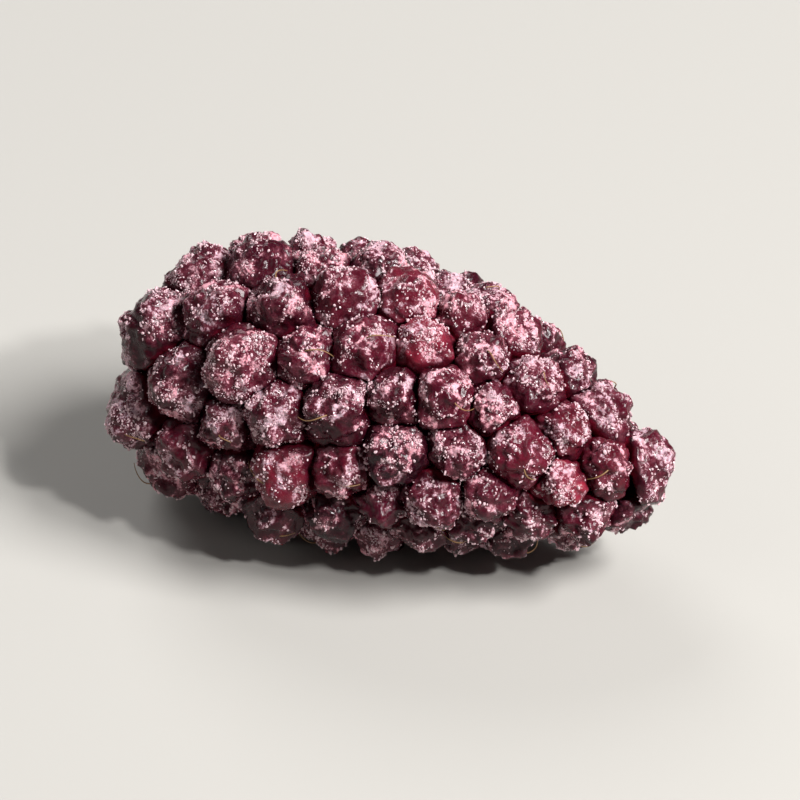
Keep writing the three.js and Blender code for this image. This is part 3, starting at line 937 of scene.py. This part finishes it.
# the receptacle's end: a ribbed plug with a dished, torn face, its axis along X
def pithTree(sizes):
    tree, add, given, _ = startTree("receptaclePith", sizes)
    shares = {"Vertices": given["round"], "Side Segments": given["along"], "Fill Segments": given["rings"]}
    plug = add("GeometryNodeMeshCylinder", {**shares, "Radius": 1.0, "Depth": 1.0}, fill_type="TRIANGLE_FAN")
    place = add("GeometryNodeInputPosition")
    split = add("ShaderNodeSeparateXYZ", [place])
    flat = add("ShaderNodeCombineXYZ", [split.outputs["X"], split.outputs["Y"]])
    out = add(vectorNode, [flat], operation="LENGTH")
    around = add(mathNode, [split.outputs["Y"], split.outputs["X"]], operation="ARCTAN2")
    inside = add(minus, [0.5, split.outputs["Z"]])

    # ribs round it, the narrowing towards its inner end, and its foot
    turns = add(times, [around, given["ribs"]])
    wave = add(mathNode, [turns], operation="COSINE")
    trough = add(minus, [wave, 1.0])
    ribbed = add(times, [trough, given["ribDepth"]])
    byOut = add(times, [ribbed, out])
    ribScale = add(timesPlus, [byOut, 0.5, 1.0])
    far = add(toPower, [inside, 2.0])
    slim = add(rangeNode, [far, 0.0, 1.0, 1.0, given["narrowing"]])
    footed = add(rangeNode, [inside, *pith["footEdge"], 0.0, given["foot"]])
    footSlim = add(plus, [slim, footed])
    scale = add(times, [ribScale, footSlim])
    radius = add(times, [scale, given["radius"]])
    wide = add(vectorTimes, [flat, radius])

    # the ring of fibre bundles in the face, one behind each rib
    fromRing = add(minus, [out, pith["bundleRing"]])
    offRing = add(mathNode, [fromRing], operation="ABSOLUTE")
    onRing = add(rangeNode, [offRing, *pith["bundleEdge"]])
    peak = add(rangeNode, [wave, *pith["bundleArc"]])
    bundle = add(times, [peak, onRing])

    # the face: dished towards its middle, with fibres standing up most at its rim
    onFace = add(rangeNode, [inside, 0.0, pith["rimDepth"], 1.0, 0.0])
    outSquared = add(toPower, [out, 2.0])
    hollow = add(minus, [1.0, outSquared])
    dish = add(times, [hollow, given["dish"]])
    tears = add(noiseNode, [wide, given["tearScale"], 2.0, 0.6])
    threads = add(noiseNode, [wide, given["threadScale"], 2.0, 0.7])
    torn, fine = (add(minus, [one, 0.5]) for one in (tears, threads))
    rimward = add(toPower, [out, 3.0])
    tornRim = add(times, [torn, rimward])
    frayed = add(times, [tornRim, given["fray"]])
    shreds = add(timesPlus, [fine, given["fibre"], frayed])
    sunk = add(plus, [dish, shreds])
    faceDepth = add(times, [sunk, onFace])
    deep = add(timesPlus, [inside, given["depth"], faceDepth])
    along = add(plus, [deep, given["face"]])
    wideSplit = add("ShaderNodeSeparateXYZ", [wide])
    joined = add("ShaderNodeCombineXYZ", [along, wideSplit.outputs["X"], wideSplit.outputs["Y"]])
    stored = plug
    for name, value in (("out", out), ("inside", inside), ("bundle", bundle)):
        stored = add(storeNode, {"Geometry": stored, "Name": name, "Value": value})
    shaped = add("GeometryNodeSetPosition", {"Geometry": stored, "Position": joined})
    turned = add("GeometryNodeFlipFaces", [shaped])
    endTree(add, given, layDown(add, given, turned), True)
    return tree


pithLook = {
    "middle": "#e9dfbe",
    "rim": "#bdb580",
    "bundle": "#8a7c4c",
    "juice": "#8a3b48",
    "deep": "#7a4a3e",
    "stain": (1.1, 3.0, 0.6),  # each pattern's size in mm, detail and roughness
    "uneven": (0.5, 2.0, 0.6),
    "fibres": (0.2, 4.0, 0.75),
    "outShare": 0.35,  # how much more the juice stains its rim than its middle
    "rimEdge": (0.3, 0.95),  # where each colour starts and is fullest, and how strong it is there
    "bundleEdge": (0.35, 0.7, 0.1, 0.8),
    "juiceEdge": (0.72, 1.0, 0.0, 0.75),
    "deepEdge": (0.0, 0.25, 0.0, 0.7),
}


# Bramble receptacle: soft white pith with fibre bundles, greenish at the rim and stained by juice.
def pithMaterial():
    grains = [pithLook[name] for name in ("stain", "uneven", "fibres")]
    material, add, noises, readers = startMaterial("receptaclePith", grains, ("out", "inside", "bundle"))
    (stain, uneven, fibres), (out, inside, bundle) = noises, readers
    outer = add(timesPlus, [out, pithLook["outShare"], stain])
    edges = (("rimEdge", out), ("bundleEdge", uneven), ("juiceEdge", outer), ("deepEdge", inside))
    rimward, patches, juiceHere, down = (add(rangeNode, [one, *pithLook[name]]) for name, one in edges)
    bundleHere = add(times, [bundle, patches])
    colour = linear(pithLook["middle"])
    for name, share in {"rim": rimward, "bundle": bundleHere, "juice": juiceHere, "deep": down}.items():
        colour = add(mixNode, [share, colour, linear(pithLook[name])], data_type="RGBA")
    bumped = add("ShaderNodeBump", {"Strength": 1.0, "Distance": 0.2 * mm, "Height": fibres})
    endMaterial(add, {
        "Base Color": colour, "Roughness": 0.62, "Subsurface Weight": 0.2,
        "Subsurface Radius": (1.0, 0.8, 0.5), "Subsurface Scale": 0.5 * mm, "Normal": bumped,
    })
    return material


stemEnd = -head["length"] / 2 - middleX
pithSizes = {
    "face": (stemEnd + pith["recess"]) * mm,
    "material": pithMaterial(),
    **asInputs(
        pith,
        ("round", "along", "rings", "narrowing", "foot", "ribs", "ribDepth"),
        ("radius", "depth", "dish", "fray", "fibre"),
        ("tear", "thread"),
    ),
    **lying,
}
plug = grow("receptaclePith", bed, pithTree(pithSizes), pithSizes)
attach(plug, "root")
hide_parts("receptacle")


# the filaments' roots, in a ring round the pith's face
def filamentBed():
    draw = random.Random(filament["seed"])
    values = {"halfWidth": []}
    aims = {"middle": [], "outward": [], "side": []}
    places = []
    for i in range(filament["count"]):
        step = i + draw.uniform(-filament["jitter"], filament["jitter"])
        around = math.tau * step / filament["count"]
        radial = Vector((0, math.cos(around), math.sin(around)))
        bend = draw.uniform(*filament["bend"])
        root = Vector((stemEnd + pith["recess"] + filament["inset"], 0, 0)) + radial * filament["out"]
        middle = (root - radial * bend) * mm
        places.append(middle)
        values["halfWidth"].append(bend * mm)
        aims["middle"].extend(middle)
        aims["outward"].extend(radial)
        aims["side"].extend((-1, 0, 0))
    mesh = bpy.data.meshes.new("filamentBed")
    mesh.from_pydata(places, [], [])
    mark(mesh, values, aims)
    return mesh


filamentSizes = {
    **hairSizes,
    "share": 1.0,
    "shortest": filament["shortest"],
    "longest": filament["longest"],
    "spinLeast": -filament["spread"],
    "spinMost": filament["spread"],
}
filaments = grow("driedFilaments", filamentBed(), growHair, filamentSizes)
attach(filaments, "root")

stage = {
    "floorHalf": 3.0,  # in metres, as distances and widths are here
    "floorDrop": 0.00002,  # keeps it clear of the berry's flats
    "floorColour": "#a19e99",
    "floorRoughness": 0.7,
    "camera": (20, 36, 0.6),  # azimuth and elevation in degrees, and distance
    "shownWidth": 0.041,
    "sensor": 36,  # the one size here that a camera takes in mm
    "world": 0.07,
}
lights = {  # azimuth, elevation, distance, width and watts
    "keyLight": (88, 50, 0.5, 0.22, 4.4),
    "glintLight": (66, 44, 0.6, 0.05, 2.8),
    "fillLight": (-50, 40, 0.6, 0.4, 0.4),
    "backLight": (225, 38, 0.6, 0.35, 1.8),
}


# Painted board: pale, even and nearly matt, so that it takes the berry's shadow and gives no glare.
def makeFloor():
    mesh = bpy.data.meshes.new("floor")
    half = stage["floorHalf"]
    corners = [(-half, -half, 0), (half, -half, 0), (half, half, 0), (-half, half, 0)]
    mesh.from_pydata(corners, [], [(0, 1, 2, 3)])
    floor = bpy.data.objects.new("floor", mesh)
    floor.location.z = -stage["floorDrop"]
    bpy.context.scene.collection.objects.link(floor)
    material, add, _, _ = startMaterial("paleFloor")
    endMaterial(add, {"Base Color": linear(stage["floorColour"]), "Roughness": stage["floorRoughness"]})
    mesh.materials.append(material)


# puts a camera or a light where it looks at the berry's middle
def aimed(name, data, azimuth, elevation, distance):
    target = (cadBounds[0] + cadBounds[1]) / 2
    azimuth, elevation = math.radians(azimuth), math.radians(elevation)
    flat = math.cos(elevation)
    towards = Vector((math.sin(azimuth) * flat, -math.cos(azimuth) * flat, math.sin(elevation)))
    holder = bpy.data.objects.new(name, data)
    holder.location = target + towards * distance
    holder.rotation_euler = (-towards).to_track_quat("-Z", "Y").to_euler()
    bpy.context.scene.collection.objects.link(holder)
    return holder


def makeCamera():
    camera = bpy.data.cameras.new("camera")
    camera.sensor_width = stage["sensor"]
    camera.lens = stage["sensor"] * stage["camera"][2] / stage["shownWidth"]
    camera.clip_start = 0.01
    camera.clip_end = 20
    bpy.context.scene.camera = aimed("camera", camera, *stage["camera"])


def makeLights():
    world = bpy.data.worlds.new("studio")
    world.use_nodes = True
    background = world.node_tree.nodes["Background"]
    background.inputs["Color"].default_value = linear("#ffffff")
    background.inputs["Strength"].default_value = stage["world"]
    bpy.context.scene.world = world
    for name, (azimuth, elevation, distance, width, power) in lights.items():
        light = bpy.data.lights.new(name, "AREA")
        light.shape = "DISK"
        light.size = width
        light.energy = power
        aimed(name, light, azimuth, elevation, distance)


makeFloor()
makeCamera()
makeLights()
bpy.context.scene.view_settings.view_transform = "Standard"

bpy.context.view_layer.update()
print("ready")
